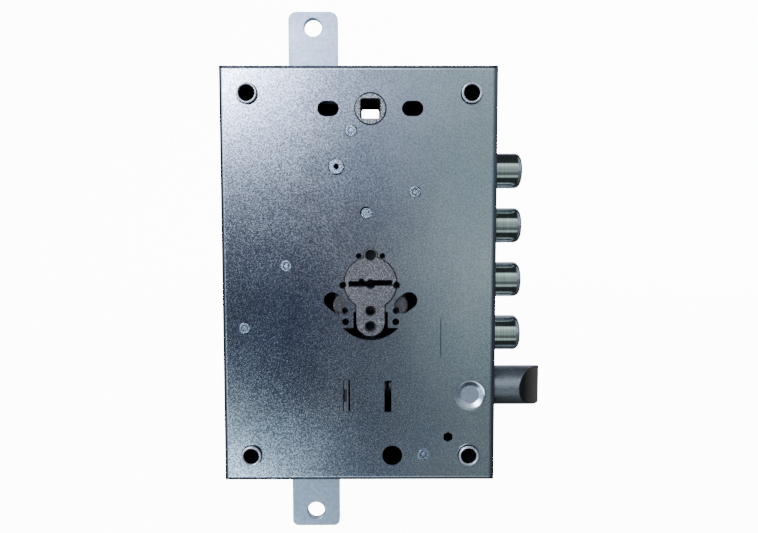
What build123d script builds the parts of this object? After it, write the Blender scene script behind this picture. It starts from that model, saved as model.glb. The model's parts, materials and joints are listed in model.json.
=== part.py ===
"""Mortise lock for an armoured door: four deadbolts, a spring latch, two rod slides and a key core.

Millimetres. The origin is the key axis at the middle of the case's depth. +X points to the
bolts, -Y to the face plate side and +Z up. Every piece stands at its rest place, which is the
unlocked lock with its latch sprung out.
"""
from build123d import *
from math import acos, cos, pi, radians, sin, tan
import os

os.makedirs("parts", exist_ok=True)

# Case
BACKSET = 63.0            # key axis to the bolt edge
CASE_LEFT = -74.5
CASE_TOP = 107.2
CASE_BOTTOM = -101.2
FLANGE_LIP = 0.5          # side flanges run past the top and bottom walls
HALF_DEPTH = 15.0
SHEET = 1.5
BEND_R = 2.5
SEAM = 0.3
INNER_FACE = HALF_DEPTH - SHEET

# Fixings in the case
BUSH_X = (-60.4, 49.6)
BUSH_Z = (93.25, -87.75)
BUSH_R = 5.0
BUSH_GAP_R = 5.4
BUSH_BORE_R = 3.1
BUSH_MOUTH_R = 4.0
BUSH_PROUD = 2.4
BUSH_MOUTH_DEPTH = 5.0
BUSH_FOOT_R = BUSH_BORE_R + 1.0
RIVETS = [(-9.6, 75.3), (22.0, 45.3), (-42.1, 8.8), (-63.1, -22.6), (26.6, -87.5)]
RIVET_R = 2.5
RIVET_NECK_R = 2.2
RIVET_HEAD_R = 2.7
RIVET_HEAD = 0.35
RIVET_DIMPLE_R = 1.3
POST_HEAD_R = 3.6
POST_HEAD = 0.8
POST_NECK_R = 3.0
POST_BORE_R = 1.3
POST_BORE_DEPTH = 4.0
HOLLOW_POST = (-16.8, 57.75)
HOLLOW_POST_END = 8.0
SPRING_POST = (-2.25, 35.1)
SPRING_POST_END = 9.0
SPRING_TENON_R = 2.6
SPRING_TENON_T = 0.7
SPRING_TENON_SHIFT = 0.25
RING_W = 2.0
RING_T = 0.8
FIT = 0.05                # radial clearance of a pin in its hole
PLAY = 0.3                # clearance round a moving piece

# Openings in the face that hold nothing
DIMPLE = (50.4, -56.9)
DIMPLE_R = 7.3
DIMPLE_FLOOR_R = 4.55
DIMPLE_DEPTH = 1.2
LATCH_SLOT = (3.5, 16.0)
LATCH_SLOT_LEFT = (-12.2, -57.1)
LATCH_SLOT_RIGHT = (8.7, -57.5)
SERVICE_HOLE = (10.9, -88.0)
SERVICE_HOLE_R = 5.1
HEX_HOLE = (39.2, -78.5)
HEX_HOLE_R = 2.25
STEM_FOOT = (17.3, 8.1)
STEM_FOOT_Z = -18.55
CRESCENT_X = 13.95
CRESCENT_TOP = -22.6
CRESCENT_BOTTOM = -28.8
SHOULDER_SLOT = ((19.2, -8.7), (16.0, -11.1))
SHOULDER_SLOT_W = 8.4

# Handle
SPINDLE_Z = 85.9
SQUARE = 9.0
SQUARE_MOUTH = 10.2
SQUARE_CORNER = 1.1
SQUARE_TAPER = 1.2
HUB_R = 7.65
HUB_BODY_R = 11.0
HUB_PROUD = 0.2
HUB_HOLE_R = 8.0
HUB_BODY_BACK = 3.0
HUB_BODY_T = 16.2
HANDLE_SLOT_X = 20.75
HANDLE_SLOT_Z = 86.0
HANDLE_SLOT_LENGTH = 10.5
HANDLE_SLOT_WIDTH = 7.5

# Deadbolts and their carriage
BOLT_R = 9.0
BOLT_PITCH = 28.0
BOLT_TOP_Z = 56.75
BOLT_COUNT = 4
BOLT_TIP = 77.9
BOLT_THROW = 28.0
BOLT_NECK_R = 5.0
BOLT_NOSE_R = 3.0
BOLT_DOME_R = 26.0        # the end of each bolt is slightly crowned
BOLT_ZS = [BOLT_TOP_Z - n * BOLT_PITCH for n in range(BOLT_COUNT)]
CARRIAGE_FRONT = 9.8
CARRIAGE_BACK = 12.3
FLANGE_X = 25.5
FLANGE_T = 2.5
CARRIAGE_LEFT = -16.0
CARRIAGE_TOP = 66.0
CARRIAGE_BOTTOM = -36.5
CARRIAGE_STUD = (20.0, -28.0)
STUD_R = 2.5
STUMP = (-12.0, 19.0)
STUMP_R = 1.5
STUMP_FRONT = -9.4
ARM_LEFT = -69.0          # arm that carries the rack under the gear
ARM_BOTTOM = 14.0
WINDOW = (13.3, 26.6)     # right edge and height of the opening round the key core
WEB_FRONT = -8.0
GUIDE_LEFT = 57.0
GUIDE_SIZE = (24.4, 114.0)
GUIDE_MID_Z = 15.0

# Rod drive
MODULE = 1.5
GEAR_TEETH = 17
PINION_TEETH = 12
GEAR_AT = (-36.0, 45.0)
GEAR_PIN_R = 3.0
GEAR_R = MODULE * GEAR_TEETH / 2
PINION_R = MODULE * PINION_TEETH / 2
PRESSURE = radians(20)
RACK_ADD = 1.0
RACK_DED = 1.9
GEAR_ADD = 1.2
GEAR_DED = 1.6
BACKLASH = 0.12
ROD_X = -29.0
ROD_W = 25.0
ROD_T = 4.0
TOP_ROD_END = 136.5
TOP_ROD_HOLE = 128.7
BOTTOM_ROD_END = -130.8
BOTTOM_ROD_HOLE = -122.6
ROD_HOLE_R = 4.5
TOP_ROD_NECK = 90.6       # the rod narrows inside the case
BOTTOM_ROD_NECK = -74.0
GEAR_NECK_R = 6.0
PINION_BACK = 2.2
GEAR_PIN_FRONT = -4.0
CARRIAGE_STUD_FRONT = 8.6

# Latch
LATCH_Z = -55.2
LATCH_R = 10.2
LATCH_TIP = 89.2
LATCH_BEVEL_START = 76.3
LATCH_BEVEL_END_Y = 2.0
LATCH_BODY_X = 44.0
SHANK_R = 4.5
SHANK_END = -15.0
LATCH_PIN_X = 22.5
LATCH_PIN_R = 2.0
BRACKET_X = (-13.6, -11.3)
BRACKET_NOTCH = 1.5
BRACKET_SIZE = (26.8, 26.0)
TAB_Y = -14.1
TAB_Z = -57.1
TAB_LENGTH = 15.8
TAB_NOTCH = 6.4
LATCH_GUIDE_SIZE = (23.6, 24.0)
LATCH_PIN_BACK = -3.0
COLLAR_X = 12.0
COLLAR_T = 3.0
COLLAR_R = 7.6
GUIDE_X = 50.0

# Key core and levers
CORE_R = 13.1
CORE_GAP = 0.4
CORE_PLATE_Y = -INNER_FACE + 0.1
CORE_FRONT_Y = -10.0
CORE_FRONT_T = 3.4
CORE_REAR_Y = 9.2
CORE_REAR_T = 1.8
CORE_BOSS_R = 12.5
STEM_HALF = 7.2
STEM_TOP = -17.1          # the block behind the stem starts below the levers
STEM_CENTRE = -19.7
CORE_BODY_R = 17.0
SHOULDER_X = 13.0
SHOULDER_Z = -11.5
SHOULDER_R = 6.0
EYE_Z = 14.0              # eye above the key slot
EYE_R = 2.75
EYE_RING_R = 3.45
CORE_SCREW_Z = -22.1
CORE_SCREW_R = 2.3
CORE_SCREW_HEAD_R = 4.0
STEM_HOLE_Z = -14.1
PIN_HOLES_TOP = [(-5.9, 13.6), (5.9, 13.6)]
PIN_HOLES_SIDE = [(-13.9, -1.1), (13.1, -1.1)]
PIN_HOLES_LOW = [(-12.9, -13.9), (12.9, -13.9)]
PIN_HOLES_FOOT = [(-12.6, -19.5), (12.6, -19.5)]
PIN_HOLE_R = 1.6
KEY_L = 22.0
KEY_W = 2.9
LEVER_COUNT = 6
LEVER_T = 2.0
LEVER_PITCH = 2.6
LEVER_FIRST_Y = -8.6
LEVER_PIN_X = 14.8
LEVER_PIN_R = 1.5
LEVER_TRAVEL = 3.2
LEVER_BORE_R = 11.4
GUARD_R = 11.1
GUARD_T = 1.2
GUARD_SEAT = 1.4
GUARD_GAP = 0.08

# Front layer: the bar and crank that join the follower to the latch
LAYER_BACK = -11.2
LAYER_T = 2.0
BAR_X = (30.0, 38.0)
BAR_TRAVEL = 8.0
BAR_STUD = (34.0, 5.0)
CRANK_AT = (21.0, -36.0)
CRANK_TIP = (27.6, -55.2)
CRANK_PAD = (34.0, -32.0)
FOLLOWER_NOSE = (17.0, SPINDLE_Z - 9.0)
NOSE_W = 5.4
NOSE_BACK = -9.0
NOSE_T = 4.2
CRANK_HUB_R = 5.0
CRANK_PAD_R = 3.6

# Springs
WIRE_R = 0.65
LATCH_COIL_R = 6.3
LATCH_COIL_PITCH = 3.5
LATCH_COIL_START = -9.6
LATCH_COIL_LENGTH = 19.8
HUB_COIL_R = 9.3
HUB_COIL_PITCH = 1.7
HUB_COIL_START = 4.2
HUB_COIL_LENGTH = 7.6


def depth(y):
    """Plane across the lock at depth y; it faces -Y, so a sketch is extruded towards the face."""
    return Plane.XZ.offset(-y)


def save(piece, name):
    """Label a finished piece and write it."""
    piece.part.label = name
    export_step(piece.part, f"parts/{name}.step")


def core_outline(grow=0.0):
    """Disc with a round-ended stem below it, grown all round by a gap."""
    Circle(CORE_R + grow)
    with Locations((0, STEM_CENTRE / 2)):
        Rectangle(2 * (STEM_HALF + grow), -STEM_CENTRE)


def key_slot(mode=Mode.ADD):
    """Double-bit key slot: two offset halves, a round middle and one small side notch."""
    with Locations((-KEY_L / 4, -0.45), (KEY_L / 4, 0.05)):
        Rectangle(KEY_L / 2, KEY_W, mode=mode)
    with Locations((0, -0.5)):
        Circle(2.5, mode=mode)
    with Locations((-4.6, 1.0)):
        Circle(1.4, mode=mode)


def link(start, end, width):
    """Round-ended arm between two centres."""
    middle = ((start[0] + end[0]) / 2, (start[1] + end[1]) / 2)
    SlotCenterPoint(middle, end, width)


def gear_outline(teeth, bore_r, tooth_at, centre):
    """Involute gear face about a centre, with one tooth at an angle in radians."""
    pitch_r = MODULE * teeth / 2
    base_r = pitch_r * cos(PRESSURE)
    tip_r = pitch_r + GEAR_ADD
    root_r = pitch_r - GEAR_DED
    half_at_pitch = (pi * MODULE / 4 - BACKLASH) / pitch_r
    involute_at_pitch = tan(PRESSURE) - PRESSURE
    with Locations(centre):
        Circle(root_r)
    flank = []
    for step in range(5):
        r = base_r + (tip_r - base_r) * step / 4
        roll = acos(base_r / r)
        flank.append((r, half_at_pitch + involute_at_pitch - (tan(roll) - roll)))
    foot_half = flank[0][1]
    outline = [(root_r - 0.5, foot_half)] + flank
    for tooth in range(teeth):
        middle = tooth_at + 2 * pi * tooth / teeth
        upper = [(centre[0] + r * cos(middle + a), centre[1] + r * sin(middle + a)) for r, a in outline]
        lower = [(centre[0] + r * cos(middle - a), centre[1] + r * sin(middle - a)) for r, a in outline]
        Polygon(*lower, *reversed(upper), align=None)
    with Locations(centre):
        Circle(bore_r, mode=Mode.SUBTRACT)


def rack_teeth(first, last, origin, along, outward):
    """Stub rack teeth with a gap centred at origin, between two distances along the rack."""
    pitch = pi * MODULE
    half = pi * MODULE / 4 - BACKLASH
    rise = tan(PRESSURE)
    for n in range(int(first / pitch) - 2, int(last / pitch) + 3):
        middle = (n + 0.5) * pitch
        if middle < first or middle > last:
            continue
        corners = [
            (middle - half - RACK_DED * rise, -RACK_DED),
            (middle + half + RACK_DED * rise, -RACK_DED),
            (middle + half - RACK_ADD * rise, RACK_ADD),
            (middle - half + RACK_ADD * rise, RACK_ADD),
        ]
        points = [
            (origin[0] + a * along[0] + h * outward[0], origin[1] + a * along[1] + h * outward[1])
            for a, h in corners
        ]
        Polygon(*points, align=None)


# ---------------------------------------------------------------- case shell

CASE_W = BACKSET - CASE_LEFT
CASE_H = CASE_TOP - CASE_BOTTOM
CASE_MID = ((BACKSET + CASE_LEFT) / 2, (CASE_TOP + CASE_BOTTOM) / 2)

with BuildPart() as case_shell:
    with BuildSketch(depth(HALF_DEPTH)):
        with Locations(CASE_MID):
            Rectangle(CASE_W, CASE_H)
    extrude(amount=2 * HALF_DEPTH)
    front = case_shell.faces().sort_by(Axis.Y)[0]
    fillet(front.edges(), BEND_R)
    with BuildSketch(depth(HALF_DEPTH)):
        with Locations(CASE_MID):
            Rectangle(CASE_W - 2 * SHEET, CASE_H - 2 * SHEET)
    extrude(amount=HALF_DEPTH + INNER_FACE, mode=Mode.SUBTRACT)
    # side flanges, a little longer than the top and bottom walls
    with BuildSketch(depth(HALF_DEPTH)):
        with Locations((CASE_LEFT + SHEET / 2, CASE_MID[1]), (BACKSET - SHEET / 2, CASE_MID[1])):
            Rectangle(SHEET, CASE_H + 2 * FLANGE_LIP)
    extrude(amount=HALF_DEPTH + INNER_FACE - BEND_R)
    # open seams beside the flanges
    with BuildSketch(depth(HALF_DEPTH)):
        for x in (CASE_LEFT + SHEET + SEAM / 2, BACKSET - SHEET - SEAM / 2):
            with Locations((x, CASE_TOP - SHEET / 2), (x, CASE_BOTTOM + SHEET / 2)):
                Rectangle(SEAM, SHEET + 0.02)
    extrude(amount=HALF_DEPTH + INNER_FACE - BEND_R, mode=Mode.SUBTRACT)
    # pressed dimple beside the latch
    with BuildSketch(depth(-INNER_FACE)):
        with Locations(DIMPLE):
            Circle(DIMPLE_FLOOR_R + SHEET)
    extrude(amount=-DIMPLE_DEPTH)
    with BuildSketch(depth(-HALF_DEPTH)) as dimple_mouth:
        with Locations(DIMPLE):
            Circle(DIMPLE_R)
    with BuildSketch(depth(-HALF_DEPTH + DIMPLE_DEPTH)) as dimple_floor:
        with Locations(DIMPLE):
            Circle(DIMPLE_FLOOR_R)
    loft([dimple_mouth.sketch, dimple_floor.sketch], mode=Mode.SUBTRACT)
    rims = case_shell.edges().filter_by(GeomType.CIRCLE).filter_by(lambda e: abs(e.radius - DIMPLE_R) < 0.01)
    fillet(rims, 4.0)
    rims = case_shell.edges().filter_by(GeomType.CIRCLE)
    fillet(rims.filter_by(lambda e: abs(e.radius - DIMPLE_FLOOR_R) < 0.01), 1.0)
    # openings in the face
    with BuildSketch(depth(-INNER_FACE)):
        with Locations(*[(x, z) for x in BUSH_X for z in BUSH_Z]):
            Circle(BUSH_GAP_R)
        with Locations(*RIVETS):
            Circle(RIVET_NECK_R + FIT)
        with Locations(HOLLOW_POST):
            Circle(POST_NECK_R + FIT)
        with Locations(SPRING_POST):
            Circle(POST_NECK_R)
        with Locations((0, SPINDLE_Z)):
            Circle(HUB_HOLE_R)
        with Locations((-HANDLE_SLOT_X, HANDLE_SLOT_Z), (HANDLE_SLOT_X, HANDLE_SLOT_Z)):
            SlotOverall(HANDLE_SLOT_LENGTH, HANDLE_SLOT_WIDTH)
        core_outline(grow=CORE_GAP)
        # wide foot of the stem opening, and the crescent below it
        with Locations((0, STEM_FOOT_Z)):
            Rectangle(*STEM_FOOT)
        with BuildLine():
            ThreePointArc((-CRESCENT_X, CRESCENT_TOP), (0, CRESCENT_BOTTOM), (CRESCENT_X, CRESCENT_TOP))
            Line((CRESCENT_X, CRESCENT_TOP), (-CRESCENT_X, CRESCENT_TOP))
        make_face()
        for side in (-1, 1):
            ends = [(side * x, z) for x, z in SHOULDER_SLOT]
            link(*ends, SHOULDER_SLOT_W)
        with Locations((0, EYE_Z)):
            Circle(EYE_RING_R + 0.15)
        with Locations(*PIN_HOLES_TOP):
            Circle(PIN_HOLE_R - 0.15)
        with Locations(*PIN_HOLES_SIDE, *PIN_HOLES_LOW, *PIN_HOLES_FOOT):
            Circle(PIN_HOLE_R + 0.15)
        for corner in (LATCH_SLOT_LEFT, LATCH_SLOT_RIGHT):
            with Locations(corner):
                Rectangle(*LATCH_SLOT)
        with Locations(SERVICE_HOLE):
            Circle(SERVICE_HOLE_R)
        with Locations(HEX_HOLE):
            RegularPolygon(HEX_HOLE_R, 6, major_radius=False, rotation=30)
    extrude(amount=SHEET, mode=Mode.SUBTRACT)
    # bolt and latch holes in the edge
    with BuildSketch(Plane.YZ.offset(BACKSET - SHEET)):
        with Locations(*[(0, z) for z in BOLT_ZS]):
            Circle(BOLT_R + PLAY)
        with Locations((0, LATCH_Z)):
            Circle(LATCH_R + PLAY)
    extrude(amount=SHEET, mode=Mode.SUBTRACT)
    # rod openings in the top and bottom walls
    with BuildSketch(Plane.XY.offset(CASE_BOTTOM)):
        with Locations((ROD_X, 0)):
            Rectangle(ROD_W + 1.0, ROD_T + 0.8)
    extrude(amount=CASE_H, mode=Mode.SUBTRACT)
save(case_shell, "case_shell")

with BuildPart() as back_cover:
    with BuildSketch(depth(HALF_DEPTH)):
        with Locations(CASE_MID):
            Rectangle(CASE_W - 2 * SHEET - 0.2, CASE_H - 2 * SHEET - 0.2)
        with Locations(*[(x, z) for x in BUSH_X for z in BUSH_Z]):
            Circle(BUSH_FOOT_R + FIT, mode=Mode.SUBTRACT)
        with Locations(*RIVETS):
            Circle(RIVET_NECK_R + FIT, mode=Mode.SUBTRACT)
        with Locations((0, SPINDLE_Z)):
            Circle(HUB_R + FIT, mode=Mode.SUBTRACT)
        Circle(CORE_BOSS_R + 0.2, mode=Mode.SUBTRACT)
    extrude(amount=SHEET)
save(back_cover, "back_cover")

with BuildPart() as corner_bushes:
    for x in BUSH_X:
        for z in BUSH_Z:
            with BuildSketch(depth(INNER_FACE)):
                with Locations((x, z)):
                    Circle(BUSH_R)
            extrude(amount=INNER_FACE + HALF_DEPTH + BUSH_PROUD)
            with BuildSketch(depth(HALF_DEPTH)):
                with Locations((x, z)):
                    Circle(BUSH_FOOT_R)
            extrude(amount=SHEET)
            with BuildSketch(depth(HALF_DEPTH)):
                with Locations((x, z)):
                    Circle(BUSH_BORE_R)
            extrude(amount=2 * HALF_DEPTH + BUSH_PROUD, mode=Mode.SUBTRACT)
            with BuildSketch(depth(-HALF_DEPTH + BUSH_MOUTH_DEPTH)):
                with Locations((x, z)):
                    Circle(BUSH_MOUTH_R)
            extrude(amount=BUSH_MOUTH_DEPTH + BUSH_PROUD, mode=Mode.SUBTRACT)
    mouths = corner_bushes.edges().filter_by(GeomType.CIRCLE).group_by(Axis.Y)[0]
    chamfer(mouths, 0.35)
save(corner_bushes, "corner_bushes")

with BuildPart() as case_rivets:
    for x, z in RIVETS:
        with BuildSketch(depth(INNER_FACE)):
            with Locations((x, z)):
                Circle(RIVET_R)
        extrude(amount=2 * INNER_FACE)
        with BuildSketch(depth(HALF_DEPTH)):
            with Locations((x, z)):
                Circle(RIVET_NECK_R)
        extrude(amount=2 * HALF_DEPTH)
        with BuildSketch(depth(-HALF_DEPTH)):
            with Locations((x, z)):
                Circle(RIVET_HEAD_R)
        extrude(amount=RIVET_HEAD)
        with BuildSketch(depth(-HALF_DEPTH)):
            with Locations((x, z)):
                Circle(RIVET_DIMPLE_R)
        extrude(amount=RIVET_HEAD, mode=Mode.SUBTRACT)
    heads = case_rivets.edges().filter_by(GeomType.CIRCLE).group_by(Axis.Y)[0]
    fillet(heads, 0.15)
save(case_rivets, "case_rivets")

with BuildPart() as hollow_post:
    with BuildSketch(depth(HOLLOW_POST_END)):
        with Locations(HOLLOW_POST):
            Circle(POST_HEAD_R)
    extrude(amount=HOLLOW_POST_END + INNER_FACE)
    with BuildSketch(depth(-INNER_FACE)):
        with Locations(HOLLOW_POST):
            Circle(POST_NECK_R)
    extrude(amount=SHEET)
    with BuildSketch(depth(-HALF_DEPTH)):
        with Locations(HOLLOW_POST):
            Circle(POST_HEAD_R)
    extrude(amount=POST_HEAD)
    with BuildSketch(depth(-HALF_DEPTH + POST_BORE_DEPTH)):
        with Locations(HOLLOW_POST):
            Circle(POST_BORE_R)
    extrude(amount=POST_BORE_DEPTH + POST_HEAD, mode=Mode.SUBTRACT)
    head = hollow_post.edges().filter_by(GeomType.CIRCLE).group_by(Axis.Y)[0]
    fillet(head, 0.25)
save(hollow_post, "hollow_post")

with BuildPart() as spring_post:
    with BuildSketch(depth(SPRING_POST_END)):
        with Locations(SPRING_POST):
            Circle(POST_HEAD_R)
    extrude(amount=SPRING_POST_END + INNER_FACE)
    # its end sits a little off the middle of its hole in the face
    with BuildSketch(depth(-INNER_FACE)):
        with Locations((SPRING_POST[0] + SPRING_TENON_SHIFT, SPRING_POST[1] - SPRING_TENON_SHIFT)):
            Circle(SPRING_TENON_R)
    extrude(amount=SPRING_TENON_T)
save(spring_post, "spring_post")

STUD_END_Y = -10.1

with BuildPart() as face_studs:
    for x, z in (BAR_STUD, CRANK_AT):
        with BuildSketch(depth(STUD_END_Y)):
            with Locations((x, z)):
                Circle(STUD_R)
        extrude(amount=INNER_FACE + STUD_END_Y)
save(face_studs, "face_studs")

with BuildPart() as rear_studs:
    with BuildSketch(depth(INNER_FACE)):
        with Locations(CARRIAGE_STUD):
            Circle(STUD_R)
    extrude(amount=INNER_FACE - CARRIAGE_STUD_FRONT)
    with BuildSketch(depth(INNER_FACE)):
        with Locations(GEAR_AT):
            Circle(GEAR_PIN_R)
    extrude(amount=INNER_FACE - GEAR_PIN_FRONT)
save(rear_studs, "rear_studs")

RINGS = [
    (GEAR_AT, GEAR_PIN_FRONT + 1.0, GEAR_PIN_R),
    (CRANK_AT, STUD_END_Y, STUD_R),
    (BAR_STUD, STUD_END_Y, STUD_R),
]

with BuildPart() as retaining_rings:
    for at, y, r in RINGS:
        with BuildSketch(depth(y)):
            with Locations(at):
                Circle(r + RING_W)
                Circle(r + FIT / 2, mode=Mode.SUBTRACT)
        extrude(amount=RING_T)
save(retaining_rings, "retaining_rings")

# ---------------------------------------------------------------- key core

with BuildPart() as core_plate:
    with BuildSketch(depth(CORE_PLATE_Y)):
        core_outline()
        with Locations((0, STEM_CENTRE)):
            Circle(STEM_HALF)
        with Locations((0, EYE_Z)):
            Circle(EYE_RING_R)
            Circle(EYE_R, mode=Mode.SUBTRACT)
        key_slot(mode=Mode.SUBTRACT)
        with Locations((0, STEM_HOLE_Z)):
            Circle(CORE_SCREW_R + 0.5, mode=Mode.SUBTRACT)
        with Locations((0, CORE_SCREW_Z)):
            Circle(CORE_SCREW_R + 0.8, mode=Mode.SUBTRACT)
        with Locations(*PIN_HOLES_SIDE):
            Circle(PIN_HOLE_R + 0.15, mode=Mode.SUBTRACT)
    extrude(amount=SHEET)
    rim = core_plate.faces().sort_by(Axis.Y)[0].outer_wire().edges()
    chamfer(rim, 0.3)
save(core_plate, "core_plate")

with BuildPart() as core_body:
    with BuildSketch(depth(CORE_FRONT_Y)):
        Circle(CORE_BODY_R)
        with Locations((0, STEM_CENTRE / 2)):
            Rectangle(2 * STEM_HALF, -STEM_CENTRE)
        with Locations((0, STEM_CENTRE)):
            Circle(STEM_HALF)
        with Locations((-SHOULDER_X, SHOULDER_Z), (SHOULDER_X, SHOULDER_Z)):
            Circle(SHOULDER_R)
    extrude(amount=CORE_FRONT_T)
    fillet(core_body.faces().sort_by(Axis.Y)[0].outer_wire().edges(), 1.2)
    # block down behind the stem, cut off clear of the levers
    with BuildSketch(depth(CORE_REAR_Y - CORE_REAR_T)):
        with Locations((0, STEM_CENTRE)):
            Circle(STEM_HALF - 0.2)
        with Locations((0, STEM_TOP + STEM_HALF / 2)):
            Rectangle(2 * STEM_HALF, STEM_HALF, mode=Mode.SUBTRACT)
    extrude(amount=CORE_REAR_Y - CORE_REAR_T - CORE_FRONT_Y)
    with BuildSketch(depth(CORE_FRONT_Y)):
        Circle(GUARD_R + GUARD_GAP)
    extrude(amount=GUARD_SEAT, mode=Mode.SUBTRACT)
    with BuildSketch(depth(CORE_FRONT_Y)):
        key_slot()
        with Locations((0, EYE_Z)):
            Circle(EYE_R)
        with Locations((0, STEM_HOLE_Z)):
            Circle(CORE_SCREW_R)
        with Locations(*PIN_HOLES_TOP):
            Circle(PIN_HOLE_R - 0.15)
        with Locations(*PIN_HOLES_SIDE, *PIN_HOLES_LOW):
            Circle(PIN_HOLE_R)
    extrude(amount=CORE_FRONT_T + SHEET, mode=Mode.SUBTRACT)
    with BuildSketch(depth(CORE_REAR_Y - CORE_REAR_T)):
        with Locations((0, CORE_SCREW_Z)):
            Circle(CORE_SCREW_R + FIT)
    extrude(amount=2 * HALF_DEPTH, mode=Mode.SUBTRACT)
save(core_body, "core_body")

with BuildPart() as core_rear_plate:
    with BuildSketch(depth(CORE_REAR_Y)):
        Circle(CORE_BODY_R)
        with Locations((0, -17.0)):
            Rectangle(2 * STEM_HALF, 19.6)
        with Locations((0, CORE_SCREW_Z)):
            Circle(CORE_SCREW_R + FIT, mode=Mode.SUBTRACT)
    extrude(amount=CORE_REAR_T)
    with BuildSketch(depth(HALF_DEPTH)):
        Circle(CORE_BOSS_R)
    extrude(amount=HALF_DEPTH - CORE_REAR_Y)
    with BuildSketch(depth(CORE_REAR_Y - CORE_REAR_T + GUARD_SEAT)):
        Circle(GUARD_R + GUARD_GAP)
    extrude(amount=GUARD_SEAT, mode=Mode.SUBTRACT)
    with BuildSketch(depth(HALF_DEPTH)):
        key_slot()
    extrude(amount=HALF_DEPTH - CORE_REAR_Y + CORE_REAR_T, mode=Mode.SUBTRACT)
save(core_rear_plate, "core_rear_plate")

with BuildPart() as core_screw:
    with BuildSketch(depth(CORE_REAR_Y)):
        with Locations((0, CORE_SCREW_Z)):
            Circle(CORE_SCREW_R)
    extrude(amount=15.0)
    with BuildSketch(depth(CORE_REAR_Y)):
        with Locations((0, CORE_SCREW_Z)):
            Circle(CORE_SCREW_HEAD_R)
    extrude(amount=-2.2)
    with BuildSketch(depth(CORE_REAR_Y + 2.2)):
        with Locations((0, CORE_SCREW_Z)):
            RegularPolygon(1.5, 6)
    extrude(amount=1.4, mode=Mode.SUBTRACT)
save(core_screw, "core_screw")

with BuildPart() as lever_pins:
    with BuildSketch(depth(CORE_REAR_Y - CORE_REAR_T)):
        with Locations((-LEVER_PIN_X, 0), (LEVER_PIN_X, 0)):
            Circle(LEVER_PIN_R)
    extrude(amount=CORE_REAR_Y - CORE_REAR_T - CORE_FRONT_Y)
save(lever_pins, "lever_pins")

with BuildPart() as front_guard_disc:
    with BuildSketch(depth(CORE_FRONT_Y - 0.1)):
        Circle(GUARD_R)
        Rectangle(KEY_L - 0.6, KEY_W + 0.4, mode=Mode.SUBTRACT)
        Circle(2.7, mode=Mode.SUBTRACT)
    extrude(amount=GUARD_T)
save(front_guard_disc, "front_guard_disc")

# closed disc with the pin that centres a hollow key
with BuildPart() as rear_guard_disc:
    with BuildSketch(depth(CORE_REAR_Y - 0.5)):
        Circle(GUARD_R)
    extrude(amount=GUARD_T)
    with BuildSketch(depth(CORE_REAR_Y - 0.5 - GUARD_T)):
        Circle(1.6)
    extrude(amount=12.0)
save(rear_guard_disc, "rear_guard_disc")

for n in range(LEVER_COUNT):
    with BuildPart() as lever:
        with BuildSketch(depth(LEVER_FIRST_Y + n * LEVER_PITCH + LEVER_T)):
            with Locations((0, 5.0)):
                RectangleRounded(36.0, 40.0, 3.0)
            with Locations((10.0, 19.0)):
                RectangleRounded(24.0, 12.0, 3.0)
            Circle(LEVER_BORE_R, mode=Mode.SUBTRACT)
            with Locations((-LEVER_PIN_X, 0), (LEVER_PIN_X, 0)):
                SlotCenterToCenter(LEVER_TRAVEL, 2 * (LEVER_PIN_R + 0.25), rotation=90, mode=Mode.SUBTRACT)
            with Locations((STUMP[0] + BOLT_THROW / 2, STUMP[1])):
                SlotCenterToCenter(BOLT_THROW, 2 * (STUMP_R + PLAY), mode=Mode.SUBTRACT)
            with Locations(STUMP, (STUMP[0] + BOLT_THROW, STUMP[1])):
                SlotCenterToCenter(LEVER_TRAVEL, 2 * (STUMP_R + PLAY), rotation=90, mode=Mode.SUBTRACT)
        extrude(amount=LEVER_T)
    save(lever, f"lever_{n + 1}")

with BuildPart() as lever_springs:
    for n in range(LEVER_COUNT):
        with BuildSketch(depth(LEVER_FIRST_Y + n * LEVER_PITCH + LEVER_T - 0.2)):
            with BuildLine():
                ThreePointArc((SPRING_POST[0] + 4.0, SPRING_POST[1] - 2.5), (9.5, 30.6), (16.0, 25.6))
            trace(line_width=0.5)
        extrude(amount=LEVER_T - 0.4)
save(lever_springs, "lever_springs")

# ---------------------------------------------------------------- deadbolts

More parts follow.
